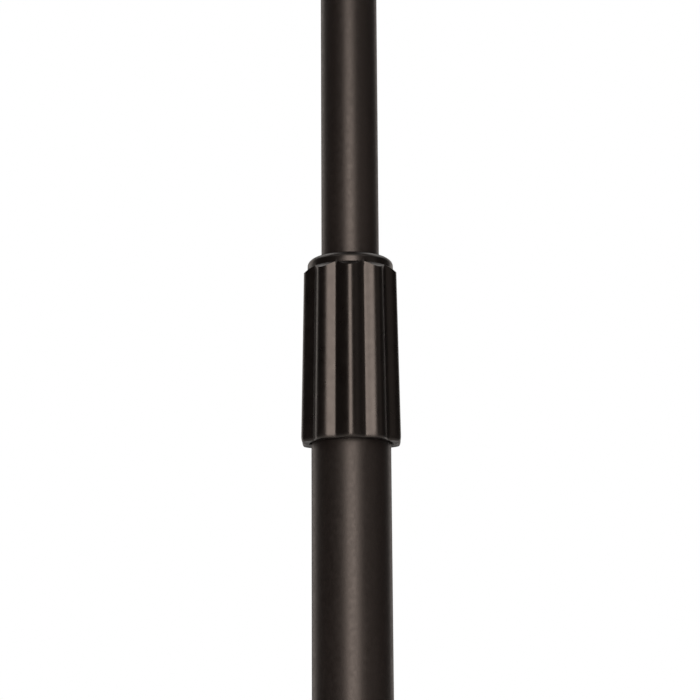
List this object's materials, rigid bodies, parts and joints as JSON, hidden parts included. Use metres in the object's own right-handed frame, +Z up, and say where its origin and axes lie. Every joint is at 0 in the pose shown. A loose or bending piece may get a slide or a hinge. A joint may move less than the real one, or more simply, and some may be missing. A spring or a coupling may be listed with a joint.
{
  "type": "music stand",
  "caption": "Folding tripod music stand with a telescoping shaft, a ribbed twist clutch and a tilting sheet-metal desk with a lipped ledge.",
  "frame": {"origin": "on the floor, in the middle of the box round the whole stand at rest; the shaft's axis is 81.65 mm behind it, at x 0", "axes": "+Z up along the shaft, the desk faces -Y towards the player, +X is the player's right"},
  "size_m": [0.5934, 0.5178, 1.2458],
  "materials": {
    "coated_steel": "satin fine-texture powder coat, warm black",
    "clutch_moulding": "semi-gloss moulded grip, warm black",
    "black_nylon": "matt moulded nylon, black",
    "foot_rubber": "matt rubber, black",
    "zinc_steel": "zinc plated, slightly dull",
    "brass": "turned brass"
  },
  "bodies": {
    "root": {"lower_tube": "coated_steel", "lower_tube_cap": "black_nylon", "clutch_ferrule": "brass", "clutch_collet": "black_nylon", "brace_collar": "black_nylon", "brace_pin_1": "zinc_steel", "brace_pin_2": "zinc_steel", "brace_pin_3": "zinc_steel"},
    "leg_hub": {"leg_hub": "black_nylon", "hub_lining": "black_nylon", "leg_pin_1": "zinc_steel", "leg_pin_2": "zinc_steel", "leg_pin_3": "zinc_steel"},
    "hub_knob": {"hub_knob": "black_nylon", "hub_knob_stud": "zinc_steel"},
    "leg_1": {"leg_knuckle_1": "black_nylon", "leg_tube_1": "coated_steel", "leg_foot_1": "foot_rubber"},
    "leg_2": {"leg_knuckle_2": "black_nylon", "leg_tube_2": "coated_steel", "leg_foot_2": "foot_rubber"},
    "leg_3": {"leg_knuckle_3": "black_nylon", "leg_tube_3": "coated_steel", "leg_foot_3": "foot_rubber"},
    "brace_1": {"brace_strap_1_left": "coated_steel", "brace_strap_1_right": "coated_steel"},
    "brace_2": {"brace_strap_2_left": "coated_steel", "brace_strap_2_right": "coated_steel"},
    "brace_3": {"brace_strap_3_left": "coated_steel", "brace_strap_3_right": "coated_steel"},
    "clutch": {"clutch_sleeve": "clutch_moulding", "clutch_washer": "zinc_steel"},
    "slider": {"foot_bush": "black_nylon"},
    "mast": {"upper_tube": "coated_steel", "neck_fitting": "black_nylon", "neck_screw": "zinc_steel", "tilt_washer_left": "black_nylon", "tilt_washer_right": "black_nylon"},
    "desk": {"desk_panel": "coated_steel", "desk_ledge": "coated_steel", "tilt_bracket": "coated_steel", "tilt_bolt": "zinc_steel", "bracket_rivet_1": "zinc_steel", "bracket_rivet_2": "zinc_steel", "bracket_rivet_3": "zinc_steel", "bracket_rivet_4": "zinc_steel", "ledge_rivet_1": "zinc_steel", "ledge_rivet_2": "zinc_steel", "ledge_rivet_3": "zinc_steel"},
    "tilt_knob": {"tilt_knob": "black_nylon", "tilt_knob_insert": "brass"}
  },
  "joints": [
    {"name": "hub_slide", "type": "slide", "parent": "root", "child": "leg_hub", "axis": [0, 0, 1], "range_m": [0, 0.158]},
    {"name": "hub_knob_twist", "type": "hinge", "parent": "leg_hub", "child": "hub_knob", "pos_m": [0, 0.10771, 0.17284], "axis": [0, 1, 0], "range_deg": [0, 150]},
    {"name": "leg_1_fold", "type": "hinge", "parent": "leg_hub", "child": "leg_1", "pos_m": [0, 0.05571, 0.17284], "axis": [1, 0, 0], "range_deg": [0, 57]},
    {"name": "leg_2_fold", "type": "hinge", "parent": "leg_hub", "child": "leg_2", "pos_m": [0.02252, 0.09471, 0.17284], "axis": [-0.5, 0.866, 0], "range_deg": [0, 57]},
    {"name": "leg_3_fold", "type": "hinge", "parent": "leg_hub", "child": "leg_3", "pos_m": [-0.02252, 0.09471, 0.17284], "axis": [-0.5, -0.866, 0], "range_deg": [0, 57]},
    {"name": "brace_1_fold", "type": "hinge", "parent": "root", "child": "brace_1", "pos_m": [0, 0.05571, 0.032], "axis": [-1, 0, 0], "range_deg": [0, 57]},
    {"name": "brace_2_fold", "type": "hinge", "parent": "root", "child": "brace_2", "pos_m": [0.02252, 0.09471, 0.032], "axis": [0.5, -0.866, 0], "range_deg": [0, 57]},
    {"name": "brace_3_fold", "type": "hinge", "parent": "root", "child": "brace_3", "pos_m": [-0.02252, 0.09471, 0.032], "axis": [0.5, 0.866, 0], "range_deg": [0, 57]},
    {"name": "clutch_twist", "type": "hinge", "parent": "root", "child": "clutch", "pos_m": [0, 0.08171, 0.7], "axis": [0, 0, 1], "range_deg": [0, 200]},
    {"name": "height_slide", "type": "slide", "parent": "root", "child": "slider", "axis": [0, 0, 1], "range_m": [-0.27, 0.22]},
    {"name": "desk_swivel", "type": "hinge", "parent": "slider", "child": "mast", "pos_m": [0, 0.08171, 0.7], "axis": [0, 0, 1], "continuous": true},
    {"name": "desk_tilt", "type": "hinge", "parent": "mast", "child": "desk", "pos_m": [0, 0.08171, 1.062], "axis": [-1, 0, 0], "range_deg": [-20, 65]},
    {"name": "tilt_knob_twist", "type": "hinge", "parent": "desk", "child": "tilt_knob", "pos_m": [0.02, 0.08171, 1.062], "axis": [1, 0, 0], "range_deg": [0, 150]}
  ],
  "couplings": [
    {"joint": "leg_1_fold", "follows": "hub_slide", "rad_per_m": 6.296},
    {"joint": "leg_2_fold", "follows": "hub_slide", "rad_per_m": 6.296},
    {"joint": "leg_3_fold", "follows": "hub_slide", "rad_per_m": 6.296},
    {"joint": "brace_1_fold", "follows": "hub_slide", "rad_per_m": 6.296},
    {"joint": "brace_2_fold", "follows": "hub_slide", "rad_per_m": 6.296},
    {"joint": "brace_3_fold", "follows": "hub_slide", "rad_per_m": 6.296}
  ]
}
